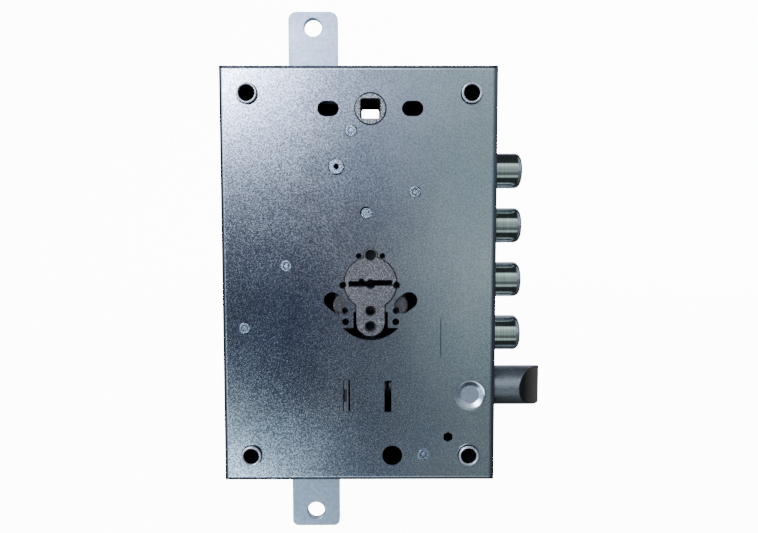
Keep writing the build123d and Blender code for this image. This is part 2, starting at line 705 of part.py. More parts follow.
with BuildPart() as bolt_carriage:
    with BuildSketch(depth(CARRIAGE_BACK)):
        with Locations(((CARRIAGE_LEFT + FLANGE_X + FLANGE_T) / 2, (CARRIAGE_TOP + CARRIAGE_BOTTOM) / 2)):
            Rectangle(FLANGE_X + FLANGE_T - CARRIAGE_LEFT, CARRIAGE_TOP - CARRIAGE_BOTTOM)
        rack_z = GEAR_AT[1] - GEAR_R
        arm_top = rack_z - RACK_DED
        with Locations(((CARRIAGE_LEFT + ARM_LEFT) / 2, (ARM_BOTTOM + arm_top) / 2)):
            Rectangle(CARRIAGE_LEFT - ARM_LEFT, arm_top - ARM_BOTTOM)
        rack_teeth(-32.5, 6.0, (GEAR_AT[0], rack_z), (1, 0), (0, 1))
        with Locations(((CARRIAGE_LEFT + WINDOW[0]) / 2, 0)):
            Rectangle(WINDOW[0] - CARRIAGE_LEFT, WINDOW[1], mode=Mode.SUBTRACT)
        with Locations((RIVETS[1][0] - BOLT_THROW / 2, RIVETS[1][1])):
            SlotCenterToCenter(BOLT_THROW, 2 * (RIVET_R + PLAY), mode=Mode.SUBTRACT)
        with Locations((CARRIAGE_STUD[0] - BOLT_THROW / 2, CARRIAGE_STUD[1])):
            SlotCenterToCenter(BOLT_THROW, 2 * (STUD_R + PLAY), mode=Mode.SUBTRACT)
        with Locations(STUMP):
            Circle(STUMP_R + FIT, mode=Mode.SUBTRACT)
        # relief over the head of the core screw
        with Locations((-BOLT_THROW / 2, CORE_SCREW_Z)):
            SlotCenterToCenter(BOLT_THROW, 2 * (CORE_SCREW_HEAD_R + 0.5), mode=Mode.SUBTRACT)
    extrude(amount=CARRIAGE_BACK - CARRIAGE_FRONT)
    with BuildSketch(Plane.YZ.offset(FLANGE_X)):
        with Locations(((CARRIAGE_BACK + WEB_FRONT) / 2, (CARRIAGE_TOP + CARRIAGE_BOTTOM) / 2)):
            Rectangle(CARRIAGE_BACK - WEB_FRONT, CARRIAGE_TOP - CARRIAGE_BOTTOM)
        with Locations(*[(0, z) for z in BOLT_ZS]):
            Circle(BOLT_NECK_R + FIT, mode=Mode.SUBTRACT)
    extrude(amount=FLANGE_T)
save(bolt_carriage, "bolt_carriage")

for n, z in enumerate(BOLT_ZS):
    with BuildPart() as deadbolt:
        with BuildSketch(Plane.YZ.offset(FLANGE_X - 0.8)):
            with Locations((0, z)):
                Circle(BOLT_NECK_R)
        extrude(amount=FLANGE_T + 0.8)
        with BuildSketch(Plane.YZ.offset(FLANGE_X + FLANGE_T)):
            with Locations((0, z)):
                Circle(BOLT_R)
        extrude(amount=BOLT_TIP - FLANGE_X - FLANGE_T)
        with Locations((BOLT_TIP - BOLT_DOME_R, 0, z)):
            Sphere(BOLT_DOME_R, rotation=(0, 0, 90), mode=Mode.INTERSECT)
        fillet(deadbolt.faces().sort_by(Axis.X)[-1].edges(), BOLT_NOSE_R)
    save(deadbolt, f"deadbolt_{n + 1}")

with BuildPart() as carriage_stump:
    with BuildSketch(depth(CARRIAGE_BACK)):
        with Locations(STUMP):
            Circle(STUMP_R)
    extrude(amount=CARRIAGE_BACK - STUMP_FRONT)
save(carriage_stump, "carriage_stump")

with BuildPart() as bolt_guide:
    with BuildSketch(Plane.YZ.offset(GUIDE_LEFT)):
        with Locations((0, GUIDE_MID_Z)):
            Rectangle(*GUIDE_SIZE)
        with Locations(*[(0, z) for z in BOLT_ZS]):
            Circle(BOLT_R + PLAY, mode=Mode.SUBTRACT)
    extrude(amount=BACKSET - SHEET - GUIDE_LEFT)
save(bolt_guide, "bolt_guide")

# ---------------------------------------------------------------- rod drive

with BuildPart() as transfer_gear:
    with BuildSketch(depth(CARRIAGE_BACK)):
        gear_outline(GEAR_TEETH, GEAR_PIN_R + FIT, -pi / 2, GEAR_AT)
    extrude(amount=CARRIAGE_BACK - CARRIAGE_FRONT)
    with BuildSketch(depth(CARRIAGE_FRONT)):
        with Locations(GEAR_AT):
            Circle(GEAR_NECK_R)
            Circle(GEAR_PIN_R + FIT, mode=Mode.SUBTRACT)
    extrude(amount=CARRIAGE_FRONT - PINION_BACK)
    with BuildSketch(depth(PINION_BACK)):
        gear_outline(PINION_TEETH, GEAR_PIN_R + FIT, 0, GEAR_AT)
    extrude(amount=2 * PINION_BACK)
save(transfer_gear, "transfer_gear")

with BuildPart() as top_rod:
    with BuildSketch(depth(ROD_T / 2)):
        with Locations((ROD_X, (TOP_ROD_END + TOP_ROD_NECK) / 2)):
            Rectangle(ROD_W, TOP_ROD_END - TOP_ROD_NECK)
        with Locations((-34.5, 75.0)):
            Rectangle(14.0, 36.4)
        with Locations((-31.25, 59.15)):
            Rectangle(20.5, 4.7)
        with Locations((-23.05, 40.25)):
            Rectangle(4.1, 42.5)
        rack_teeth(-26.0, 6.0, (GEAR_AT[0] + PINION_R, GEAR_AT[1]), (0, 1), (-1, 0))
        with Locations((ROD_X, TOP_ROD_HOLE)):
            Circle(ROD_HOLE_R, mode=Mode.SUBTRACT)
    extrude(amount=ROD_T)
    fillet(top_rod.edges().filter_by(Axis.Y).group_by(Axis.Z)[-1], 4.0)
    end_faces = top_rod.faces().filter_by(Axis.Y)
    chamfer([e for f in end_faces for e in f.edges() if e.center().Z > CASE_TOP], 0.3)
save(top_rod, "top_rod")

with BuildPart() as bottom_rod:
    with BuildSketch(depth(ROD_T / 2)):
        with Locations((ROD_X, (BOTTOM_ROD_END + BOTTOM_ROD_NECK) / 2)):
            Rectangle(ROD_W, BOTTOM_ROD_NECK - BOTTOM_ROD_END)
        with Locations((-35.25, -52.5)):
            Rectangle(12.5, 43.0)
        with Locations((-41.5, -35.5)):
            Rectangle(25.0, 9.0)
        with Locations((-50.45, 15.5)):
            Rectangle(7.1, 111.0)
        rack_teeth(-6.0, 26.0, (GEAR_AT[0] - PINION_R, GEAR_AT[1]), (0, 1), (1, 0))
        with Locations((ROD_X, BOTTOM_ROD_HOLE)):
            Circle(ROD_HOLE_R, mode=Mode.SUBTRACT)
    extrude(amount=ROD_T)
    fillet(bottom_rod.edges().filter_by(Axis.Y).group_by(Axis.Z)[0], 3.0)
    end_faces = bottom_rod.faces().filter_by(Axis.Y)
    chamfer([e for f in end_faces for e in f.edges() if e.center().Z < CASE_BOTTOM], 0.3)
save(bottom_rod, "bottom_rod")

# ---------------------------------------------------------------- latch and handle

with BuildPart() as latch_bolt:
    with BuildSketch(Plane.YZ.offset(LATCH_BODY_X)):
        with Locations((0, LATCH_Z)):
            Circle(LATCH_R)
    extrude(amount=LATCH_TIP - LATCH_BODY_X)
    with BuildSketch(Plane.YZ.offset(SHANK_END)):
        with Locations((0, LATCH_Z)):
            Circle(SHANK_R)
    extrude(amount=LATCH_BODY_X - SHANK_END)
    with BuildSketch(Plane.XY.offset(LATCH_Z - LATCH_R)):
        with BuildLine():
            Polyline(
                (LATCH_BEVEL_START, -LATCH_R), (LATCH_TIP, LATCH_BEVEL_END_Y), (LATCH_TIP + 1, -LATCH_R),
                close=True,
            )
        make_face()
    extrude(amount=2 * LATCH_R, mode=Mode.SUBTRACT)
    with BuildSketch(depth(LATCH_PIN_BACK)):
        with Locations((LATCH_PIN_X, LATCH_Z)):
            Circle(LATCH_PIN_R + FIT)
    extrude(amount=SHANK_R, mode=Mode.SUBTRACT)
    tip_edges = latch_bolt.faces().sort_by(Axis.X)[-1].edges()
    chamfer(tip_edges, 0.4)
save(latch_bolt, "latch_bolt")

with BuildPart() as latch_pin:
    with BuildSketch(depth(LATCH_PIN_BACK)):
        with Locations((LATCH_PIN_X, LATCH_Z)):
            Circle(LATCH_PIN_R)
    extrude(amount=LATCH_PIN_BACK - LAYER_BACK + LAYER_T - 0.1)
save(latch_pin, "latch_pin")

with BuildPart() as latch_collar:
    with BuildSketch(Plane.YZ.offset(COLLAR_X)):
        with Locations((0, LATCH_Z)):
            Circle(COLLAR_R)
            Circle(SHANK_R + FIT, mode=Mode.SUBTRACT)
    extrude(amount=COLLAR_T)
save(latch_collar, "latch_collar")

with BuildPart() as latch_guide:
    with BuildSketch(Plane.YZ.offset(GUIDE_X)):
        with Locations((0, LATCH_Z)):
            Rectangle(*LATCH_GUIDE_SIZE)
            Circle(LATCH_R + PLAY, mode=Mode.SUBTRACT)
    extrude(amount=BACKSET - SHEET - GUIDE_X)
save(latch_guide, "latch_guide")

with BuildPart() as latch_bracket:
    with BuildSketch(Plane.YZ.offset(BRACKET_X[0])):
        with Locations((0, LATCH_Z)):
            Rectangle(*BRACKET_SIZE)
        with Locations((TAB_Y, TAB_Z)):
            Rectangle(SHEET, TAB_LENGTH)
        with Locations((0, LATCH_Z)):
            Circle(SHANK_R + PLAY, mode=Mode.SUBTRACT)
    extrude(amount=BRACKET_X[1] - BRACKET_X[0])
    # notch in the tab's left side
    with BuildSketch(Plane.YZ.offset(BRACKET_X[0])):
        with Locations((TAB_Y, TAB_Z)):
            Rectangle(SHEET + 0.2, TAB_NOTCH)
    extrude(amount=BRACKET_NOTCH, mode=Mode.SUBTRACT)
save(latch_bracket, "latch_bracket")

with BuildPart() as latch_spring:
    with BuildLine() as coil:
        Helix(
            pitch=LATCH_COIL_PITCH,
            height=LATCH_COIL_LENGTH,
            radius=LATCH_COIL_R,
            center=(LATCH_COIL_START, 0, LATCH_Z),
            direction=(1, 0, 0),
        )
    with BuildSketch(Plane(origin=coil.line @ 0, z_dir=coil.line % 0)):
        Circle(WIRE_R)
    sweep(path=coil.line, is_frenet=True)
save(latch_spring, "latch_spring")

with BuildPart() as follower:
    with BuildSketch(depth(HUB_BODY_BACK)):
        with Locations((0, SPINDLE_Z)):
            Circle(HUB_BODY_R)
    extrude(amount=HUB_BODY_T)
    with BuildSketch(depth(NOSE_BACK)):
        link((0, SPINDLE_Z), FOLLOWER_NOSE, NOSE_W)
    extrude(amount=NOSE_T)
    with BuildSketch(depth(HALF_DEPTH)):
        with Locations((0, SPINDLE_Z)):
            Circle(HUB_R)
    extrude(amount=2 * HALF_DEPTH + HUB_PROUD)
    rims = follower.edges().filter_by(GeomType.CIRCLE).group_by(Axis.Y)
    chamfer(rims[0] + rims[-1], 0.4)
    with BuildSketch(depth(HALF_DEPTH)):
        with Locations((0, SPINDLE_Z)):
            RectangleRounded(SQUARE, SQUARE, SQUARE_CORNER)
    extrude(amount=2 * HALF_DEPTH + HUB_PROUD, mode=Mode.SUBTRACT)
    for y, taper_depth in ((-HALF_DEPTH - HUB_PROUD, SQUARE_TAPER), (HALF_DEPTH, -SQUARE_TAPER)):
        with BuildSketch(depth(y)) as square_mouth:
            with Locations((0, SPINDLE_Z)):
                RectangleRounded(SQUARE_MOUTH, SQUARE_MOUTH, SQUARE_CORNER)
        with BuildSketch(depth(y + taper_depth)) as square_throat:
            with Locations((0, SPINDLE_Z)):
                RectangleRounded(SQUARE, SQUARE, SQUARE_CORNER)
        loft([square_mouth.sketch, square_throat.sketch], mode=Mode.SUBTRACT)
save(follower, "follower")

with BuildPart() as follower_spring:
    with BuildLine() as turns:
        Helix(
            pitch=HUB_COIL_PITCH,
            height=HUB_COIL_LENGTH,
            radius=HUB_COIL_R,
            center=(0, HUB_COIL_START, SPINDLE_Z),
            direction=(0, 1, 0),
        )
    with BuildSketch(Plane(origin=turns.line @ 0, z_dir=turns.line % 0)):
        Circle(WIRE_R)
    sweep(path=turns.line, is_frenet=True)
save(follower_spring, "follower_spring")

with BuildPart() as latch_bar:
    with BuildSketch(depth(LAYER_BACK)):
        with Locations((sum(BAR_X) / 2, 4.95)):
            Rectangle(BAR_X[1] - BAR_X[0], 66.1)
        with Locations((27.5, 52.0)):
            Rectangle(21.0, 28.0)
        with Locations((14.0, 69.5)):
            Rectangle(16.0, 7.9)
        with Locations((RIVETS[1][0], RIVETS[1][1] + BAR_TRAVEL / 2)):
            SlotCenterToCenter(BAR_TRAVEL, 2 * (RIVET_R + PLAY), rotation=90, mode=Mode.SUBTRACT)
        with Locations((BAR_STUD[0], BAR_STUD[1] + BAR_TRAVEL / 2)):
            SlotCenterToCenter(BAR_TRAVEL, 2 * (STUD_R + PLAY), rotation=90, mode=Mode.SUBTRACT)
    extrude(amount=LAYER_T)
save(latch_bar, "latch_bar")

with BuildPart() as latch_crank:
    with BuildSketch(depth(LAYER_BACK)):
        with Locations(CRANK_AT):
            Circle(CRANK_HUB_R)
        link(CRANK_AT, CRANK_TIP, CRANK_HUB_R)
        link(CRANK_AT, CRANK_PAD, CRANK_PAD_R)
        with Locations(CRANK_PAD):
            Circle(CRANK_PAD_R)
        with Locations(CRANK_AT):
            Circle(STUD_R + FIT, mode=Mode.SUBTRACT)
    extrude(amount=LAYER_T)
save(latch_crank, "latch_crank")
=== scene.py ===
"""Looks of a mortise lock: camera, pale stage, studio surround and the materials of its pieces."""
import json
import math

import bmesh
import bpy
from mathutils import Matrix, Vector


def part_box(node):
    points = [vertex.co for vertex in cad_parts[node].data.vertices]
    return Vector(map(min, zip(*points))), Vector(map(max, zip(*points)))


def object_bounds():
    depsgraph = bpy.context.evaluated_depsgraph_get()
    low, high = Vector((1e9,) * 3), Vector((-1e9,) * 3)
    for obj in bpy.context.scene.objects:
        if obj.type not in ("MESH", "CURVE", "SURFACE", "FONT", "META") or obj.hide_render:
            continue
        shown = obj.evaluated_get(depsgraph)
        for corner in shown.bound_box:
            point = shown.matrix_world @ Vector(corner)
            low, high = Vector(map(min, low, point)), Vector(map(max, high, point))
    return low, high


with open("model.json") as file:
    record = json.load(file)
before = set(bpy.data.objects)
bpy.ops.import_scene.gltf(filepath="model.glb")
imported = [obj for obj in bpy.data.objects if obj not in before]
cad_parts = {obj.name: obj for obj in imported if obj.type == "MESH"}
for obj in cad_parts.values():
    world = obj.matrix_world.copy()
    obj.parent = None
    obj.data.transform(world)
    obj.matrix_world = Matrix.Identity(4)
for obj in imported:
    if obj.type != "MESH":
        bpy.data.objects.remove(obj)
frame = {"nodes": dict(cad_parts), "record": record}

cad_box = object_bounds()
scene = bpy.context.scene
nodes = frame["nodes"]
CASE_LOW, CASE_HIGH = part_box("case_shell")

# ------------------------------------------------------------------ camera

CAMERA_PLACE = (-0.00019, -0.33655, 0.02925)
CAMERA_PITCH = math.radians(90 - 3.902)
CAMERA_ROLL = math.radians(0.05)
CAMERA_YAW = math.radians(-0.24)
LENS_MM = 30.70
SENSOR_MM = 36.0

camera_data = bpy.data.cameras.new("camera")
camera_data.lens = LENS_MM
camera_data.sensor_width = SENSOR_MM
camera_data.shift_x = 0.0081
camera_data.shift_y = 0.0027
camera = bpy.data.objects.new("camera", camera_data)
camera.location = CAMERA_PLACE
camera.rotation_euler = (CAMERA_PITCH, CAMERA_ROLL, CAMERA_YAW)
scene.collection.objects.link(camera)
scene.camera = camera

# ------------------------------------------------------------------ floor, backdrop and light

FLOOR_GAP = 0.002
STAGE_GLOW = 12.0         # lifts the paper to white, as in a cut-out product picture
STAGE_WALL = 1.9          # radius of the round wall
STAGE_BEND = 0.7          # radius between floor and wall
STAGE_HEIGHT = 3.0
STAGE_STEPS = 16
STAGE_SIDES = 64
floor_z = cad_box[0][2] - FLOOR_GAP


def pale_paper():
    """Even white paper, for the stage alone."""
    material = bpy.data.materials.new("pale_paper")
    material.use_nodes = True
    shader = material.node_tree.nodes["Principled BSDF"]
    shader.inputs["Base Color"].default_value = (0.93, 0.93, 0.93, 1)
    shader.inputs["Roughness"].default_value = 0.9
    shader.inputs["Emission Color"].default_value = (1, 1, 1, 1)
    shader.inputs["Emission Strength"].default_value = STAGE_GLOW
    return material


def make_stage():
    """A round pale floor that curves up into a pale wall on every side."""
    profile = []
    for step in range(STAGE_STEPS + 1):
        angle = math.pi / 2 * step / STAGE_STEPS
        radius = STAGE_WALL - STAGE_BEND + STAGE_BEND * math.sin(angle)
        profile.append((radius, floor_z + STAGE_BEND - STAGE_BEND * math.cos(angle)))
    profile.append((STAGE_WALL, floor_z + STAGE_HEIGHT))
    verts = [(0.0, 0.0, floor_z)]
    for radius, z in profile:
        for side in range(STAGE_SIDES):
            turn = 2 * math.pi * side / STAGE_SIDES
            verts.append((radius * math.cos(turn), radius * math.sin(turn), z))
    faces = [(0, 1 + side, 1 + (side + 1) % STAGE_SIDES) for side in range(STAGE_SIDES)]
    for ring in range(len(profile) - 1):
        first = 1 + ring * STAGE_SIDES
        above = first + STAGE_SIDES
        for side in range(STAGE_SIDES):
            after = (side + 1) % STAGE_SIDES
            faces.append((first + side, above + side, above + after, first + after))
    mesh = bpy.data.meshes.new("stage")
    mesh.from_pydata(verts, [], faces)
    for polygon in mesh.polygons:
        polygon.use_smooth = True
    stage = bpy.data.objects.new("stage", mesh)
    scene.collection.objects.link(stage)
    mesh.materials.append(pale_paper())
    # the paper is a backdrop alone: it neither lights the metal nor shades it
    stage.visible_diffuse = False
    stage.visible_glossy = False
    stage.visible_shadow = False


make_stage()

# ------------------------------------------------------------------ material nodes


class Nodes:
    """Short calls that add nodes to one node tree."""

    def __init__(self, tree):
        self.tree = tree
        self.coords = self.tree.nodes.new("ShaderNodeTexCoord")

    def node(self, kind, **settings):
        made = self.tree.nodes.new(kind)
        for key, value in settings.items():
            setattr(made, key, value)
        return made

    def join(self, source, target):
        self.tree.links.new(source, target)

    def place(self, scale=(1, 1, 1)):
        """Object coordinates, stretched by a scale along each axis."""
        mapping = self.node("ShaderNodeMapping")
        mapping.inputs["Scale"].default_value = scale
        self.join(self.coords.outputs["Object"], mapping.inputs["Vector"])
        return mapping.outputs["Vector"]

    def noise(self, scale, stretch=(1, 1, 1), detail=3.0, rough=0.55):
        """Noise from 0 to 1 with a scale per metre."""
        made = self.node("ShaderNodeTexNoise")
        made.inputs["Scale"].default_value = scale
        made.inputs["Detail"].default_value = detail
        made.inputs["Roughness"].default_value = rough
        self.join(self.place(stretch), made.inputs["Vector"])
        return made.outputs["Fac"]

    def axis(self, letter):
        """One object coordinate, in metres."""
        split = self.node("ShaderNodeSeparateXYZ")
        self.join(self.coords.outputs["Object"], split.inputs["Vector"])
        return split.outputs[letter]

    def span(self, value, low, high, to_low=0.0, to_high=1.0):
        """Value mapped from low..high to to_low..to_high, clamped."""
        made = self.node("ShaderNodeMapRange")
        made.inputs["From Min"].default_value = low
        made.inputs["From Max"].default_value = high
        made.inputs["To Min"].default_value = to_low
        made.inputs["To Max"].default_value = to_high
        self.join(value, made.inputs["Value"])
        return made.outputs["Result"]

    def math(self, operation, a, b=None):
        """Arithmetic of values or numbers."""
        made = self.node("ShaderNodeMath", operation=operation)
        for index, value in enumerate((a, b)):
            if value is None:
                continue
            if isinstance(value, (int, float)):
                made.inputs[index].default_value = value
            else:
                self.join(value, made.inputs[index])
        return made.outputs["Value"]

    def product(self, first, *others):
        """Several masks multiplied."""
        for mask in others:
            first = self.math("MULTIPLY", first, mask)
        return first

    def ramp(self, value, stops):
        """Colours along 0 to 1."""
        made = self.node("ShaderNodeValToRGB")
        elements = made.color_ramp.elements
        while len(elements) < len(stops):
            elements.new(0.5)
        for element, (at, color) in zip(elements, stops):
            element.position = at
            element.color = (*color, 1)
        self.join(value, made.inputs["Fac"])
        return made.outputs["Color"]

    def mix(self, factor, a, b, blend="MIX"):
        """Two colours mixed by a factor."""
        made = self.node("ShaderNodeMix", data_type="RGBA", blend_type=blend)
        for socket, value in ((made.inputs[0], factor), (made.inputs[6], a), (made.inputs[7], b)):
            if isinstance(value, (int, float)):
                socket.default_value = value
            elif isinstance(value, tuple):
                socket.default_value = (*value, 1)
            else:
                self.join(value, socket)
        return made.outputs[2]


LEAST_WIDTH = 0.004       # narrower solids of a node aren't rivets or posts


def centres(name):
    """Middle of each separate solid of a node, across the face."""
    mesh = bmesh.new()
    mesh.from_mesh(nodes[name].data)
    seen = set()
    found = set()
    for start in mesh.verts:
        if start in seen:
            continue
        stack = [start]
        island = []
        while stack:
            vert = stack.pop()
            if vert in seen:
                continue
            seen.add(vert)
            island.append(vert.co.copy())
            stack.extend(edge.other_vert(vert) for edge in vert.link_edges)
        xs = [co.x for co in island]
        zs = [co.z for co in island]
        if max(xs) - min(xs) > LEAST_WIDTH:
            found.add((round((min(xs) + max(xs)) / 2, 4), round((min(zs) + max(zs)) / 2, 4)))
    mesh.free()
    return sorted(found)


RIVET_CENTRES = centres("case_rivets")
POST_CENTRES = centres("hollow_post")
RIVET_SHADE_RING = (0.0027, 0.0031)     # inner and outer radius of the painted shade round a rivet
POST_SHADE_RING = (0.0036, 0.0041)
RIVET_HEAD_RING = (0.0012, 0.0017)
DIMPLE = (0.0504, -0.0569)        # centre of the pressed dimple, in X and Z
DIMPLE_RADIUS = 0.0085


class Shade(Nodes):
    """A node-based material under construction."""

    def __init__(self, name):
        self.material = bpy.data.materials.new(name)
        self.material.use_nodes = True
        super().__init__(self.material.node_tree)
        self.shader = self.tree.nodes["Principled BSDF"]

    def window(self, letter, low, high, fade):
        """1 between two places along an axis, fading to 0 over a short way outwards at each end."""
        across = self.axis(letter)
        return self.product(
            self.span(across, low - fade, low),
            self.span(across, high, high + fade, 1.0, 0.0),
        )

    def shade_inside_case(self):
        """1 on surfaces within the case's walls, where shade is painted dark, and 0 outside."""
        return self.product(
            self.window("X", CASE_LOW[0] + 0.0016, CASE_HIGH[0] - 0.0016, 0.0002),
            self.window("Y", CASE_LOW[1] + 0.0013, CASE_HIGH[1] - 0.0004, 0.0002),
            self.window("Z", CASE_LOW[2] + 0.0016, CASE_HIGH[2] - 0.0016, 0.0002),
        )

    def shade_in_holes(self):
        """1 just below the face plane away from the bends and the dimple: the walls of holes, where shade is
        painted.
        """
        return self.product(
            self.window("X", CASE_LOW[0] + 0.0040, CASE_HIGH[0] - 0.0040, 0.0005),
            self.window("Y", CASE_LOW[1] + 0.00010, CASE_LOW[1] + 0.0014, 0.00006),
            self.window("Z", CASE_LOW[2] + 0.0040, CASE_HIGH[2] - 0.0040, 0.0005),
            self.span(self.reach(*DIMPLE), DIMPLE_RADIUS, DIMPLE_RADIUS + 0.0003),
        )

    def on_face(self):
        """1 on the flat face of the case and in front of it."""
        return self.span(self.axis("Y"), CASE_LOW[1] + 0.0001, CASE_LOW[1] + 0.0003, 1.0, 0.0)

    def reach(self, x, z, half_width=1.0, half_height=1.0):
        """Distance across the face from a point, in half widths and half heights."""
        across = self.math("DIVIDE", self.math("SUBTRACT", self.axis("X"), x), half_width)
        up = self.math("DIVIDE", self.math("SUBTRACT", self.axis("Z"), z), half_height)
        squares = self.math("ADD", self.product(across, across), self.product(up, up))
        return self.math("SQRT", squares)

    def rings(self, places, inner, outer):
        """Broken rings round some places, which carry painted shade or a dark mark."""
        nearest = self.reach(*places[0])
        for place in places[1:]:
            nearest = self.math("MINIMUM", nearest, self.reach(*place))
        return self.product(
            self.span(nearest, inner - 0.0001, inner),
            self.span(nearest, outer, outer + 0.0001, 1, 0),
            self.span(self.noise(500, detail=2), 0.35, 0.55, 0.45, 1.0),
        )

    def patch(self, x, z, half_width, half_height):
        """1 about a point of the face, fading to 0 on an ellipse round it."""
        return self.span(self.reach(x, z, half_width, half_height), 0.25, 1.0, 1.0, 0.0)

    def finish(self, color, roughness, metallic, bumps=(), painted_shade=None):
        """Colour, roughness and bumps as (height, strength, distance) into the shader.

        Where painted_shade is 1 the surface is painted shade: near black and mirroring nothing.
        """
        self.shader.inputs["Metallic"].default_value = metallic
        if painted_shade is not None:
            # painted shade: near black and not metallic; the dielectric specular is off for the whole
            # material
            color = self.mix(painted_shade, color, grey(PAINTED_SHADE_BLACK))
            self.join(self.span(painted_shade, 0.0, 1.0, metallic, 0.0), self.shader.inputs["Metallic"])
            self.shader.inputs["Specular IOR Level"].default_value = 0.0
        self.join(color, self.shader.inputs["Base Color"])
        if isinstance(roughness, float):
            self.shader.inputs["Roughness"].default_value = roughness
        else:
            self.join(roughness, self.shader.inputs["Roughness"])
        normal = None
        for height, strength, distance in bumps:
            bump = self.node("ShaderNodeBump")
            bump.inputs["Strength"].default_value = strength
            bump.inputs["Distance"].default_value = distance
            self.join(height, bump.inputs["Height"])
            if normal is not None:
                self.join(normal, bump.inputs["Normal"])
            normal = bump.outputs["Normal"]
        if normal is not None:
            self.join(normal, self.shader.inputs["Normal"])
        return self.material


# linear level of the near-black painted shade
PAINTED_SHADE_BLACK = 0.006


def grey(level, tint=(1.0, 1.0, 1.0)):
    """A grey of linear level with a tint."""
    return tuple(level * t for t in tint)


# tints of the zinc and of what it mirrors
BLUE = (0.87, 0.99, 1.20)
DEEP = (0.84, 0.98, 1.30)
VIOLET = (1.02, 0.97, 1.08)
TEAL = (0.82, 1.08, 1.22)
GREEN = (0.86, 1.08, 1.00)

# ------------------------------------------------------------------ studio surround

RISE = (-1.2, 1.4)        # lowest and highest slope upwards that the surround in front tells apart
WINDOW = (-0.23, 0.00)    # slopes to the side from the pale window's full strength to its end
WINDOW_FADE = 3.0
RIGHT_SIDE = (0.02, 0.15)

# (slope upwards, level, tint) from below to above, at the left, in the middle and at the right
SURROUND_LEFT = [
    (-1.2, 0.05, TEAL), (-0.75, 3.0, TEAL), (-0.44, 4.8, TEAL), (-0.38, 1.9, TEAL), (-0.33, 0.50, TEAL),
    (-0.26, 0.08, TEAL), (-0.15, 0.0, DEEP), (-0.08, 0.0, DEEP), (-0.02, 0.05, DEEP),
    (0.05, 0.22, DEEP), (0.11, 1.3, BLUE), (0.17, 4.2, BLUE), (0.23, 18.0, BLUE), (1.2, 0.10, BLUE),
]
SURROUND_MIDDLE = [
    (-1.2, 0.04, BLUE), (-0.95, 1.2, BLUE), (-0.70, 1.2, BLUE), (-0.55, 0.25, TEAL), (-0.42, 0.10, BLUE),
    (-0.30, 0.02, DEEP), (-0.14, 0.04, VIOLET), (-0.06, 0.10, VIOLET), (0.03, 0.16, VIOLET),
    (0.10, 0.29, BLUE), (0.17, 0.44, BLUE), (0.25, 0.62, BLUE), (0.45, 1.8, BLUE), (0.80, 2.6, BLUE),
    (1.2, 0.06, BLUE),
]
SURROUND_RIGHT = [
    (-1.2, 0.03, GREEN), (-0.95, 0.6, GREEN), (-0.70, 0.6, GREEN), (-0.55, 0.10, GREEN), (-0.45, 0.18, GREEN),
    (-0.30, 0.13, GREEN), (-0.20, 0.30, GREEN), (-0.05, 0.46, GREEN), (0.10, 0.40, GREEN),
    (0.40, 0.60, GREEN), (0.80, 1.2, GREEN), (1.15, 0.04, GREEN), (1.4, 0.03, GREEN),
]

# colours from straight down at 0 to straight up at 1
FAR_RIGHT = [
    (0.0, grey(0.10, BLUE)), (0.45, grey(0.22, BLUE)), (0.60, grey(0.60, BLUE)), (1.0, grey(0.30, BLUE)),
]
FAR_LEFT = [
    (0.0, grey(0.30, BLUE)), (0.36, grey(1.1, TEAL)), (0.46, grey(0.8, BLUE)),
    (0.51, grey(0.9, BLUE)), (0.58, grey(6.0, BLUE)),
]
BEHIND = [
    (0.0, grey(0.20, BLUE)), (0.42, grey(0.45, BLUE)), (0.55, grey(1.10, BLUE)), (1.0, grey(0.50, BLUE)),
]
LEFT_END = grey(0.10, BLUE)
BESIDE = grey(0.04, VIOLET)


def column(w, height, stops):
    """One upright strip of the surround in front, from (slope upwards, level, tint) stops."""
    low, high = RISE
    return w.ramp(height, [((at - low) / (high - low), grey(level, tint)) for at, level, tint in stops])


def studio_world():
    """Soft studio surround: pale above and low at the left, a dark stand in front, dim sides.

    The surround is drawn by direction. Over the half in front of the object it depends on the
    slope to the side, X / -Y, and on the slope upwards, Z / -Y.
    """
    world = bpy.data.worlds.new("studio")
    scene.world = world
    world.use_nodes = True
    w = Nodes(world.node_tree)
    split = w.node("ShaderNodeSeparateXYZ")
    w.join(w.coords.outputs["Generated"], split.inputs["Vector"])
    x, y, z = split.outputs["X"], split.outputs["Y"], split.outputs["Z"]
    ahead = w.math("MAXIMUM", w.math("MULTIPLY", y, -1.0), 0.05)
    side = w.math("DIVIDE", x, ahead)
    height = w.span(w.math("DIVIDE", z, ahead), *RISE)
    upright = w.span(z, -1.0, 1.0)

    # in front: the pale window at the left fades quickly towards the middle
    window = w.math("POWER", w.span(side, *WINDOW, 1.0, 0.0), WINDOW_FADE)
    color = w.mix(window, column(w, height, SURROUND_MIDDLE), column(w, height, SURROUND_LEFT))
    color = w.mix(w.span(side, *RIGHT_SIDE), color, column(w, height, SURROUND_RIGHT))
    # well to the sides
    color = w.mix(w.span(x, 0.35, 0.60), color, w.ramp(upright, FAR_RIGHT))
    color = w.mix(w.span(x, -0.50, -0.38, 1.0, 0.0), color, w.ramp(upright, FAR_LEFT))
    color = w.mix(w.span(x, -0.92, -0.80, 1.0, 0.0), color, LEFT_END)
    # beside and behind
    color = w.mix(w.span(y, 0.20, 0.32), color, BESIDE)
    color = w.mix(w.span(y, 0.55, 0.85), color, w.ramp(upright, BEHIND))
    background = world.node_tree.nodes["Background"]
    w.join(color, background.inputs["Color"])
    background.inputs["Strength"].default_value = 1.0


# ------------------------------------------------------------------ materials

DIM_REFLECTION_PATCH = (-0.046, -0.018, 0.040, 0.048)      # centre, half width and half height of a painted dim reflection
SCRATCH = (0.0352, -0.0275)                      # middle of the upright scratch by the bolts
SCRATCH_HALF = (0.00012, 0.0085)                 # half its width and half its height


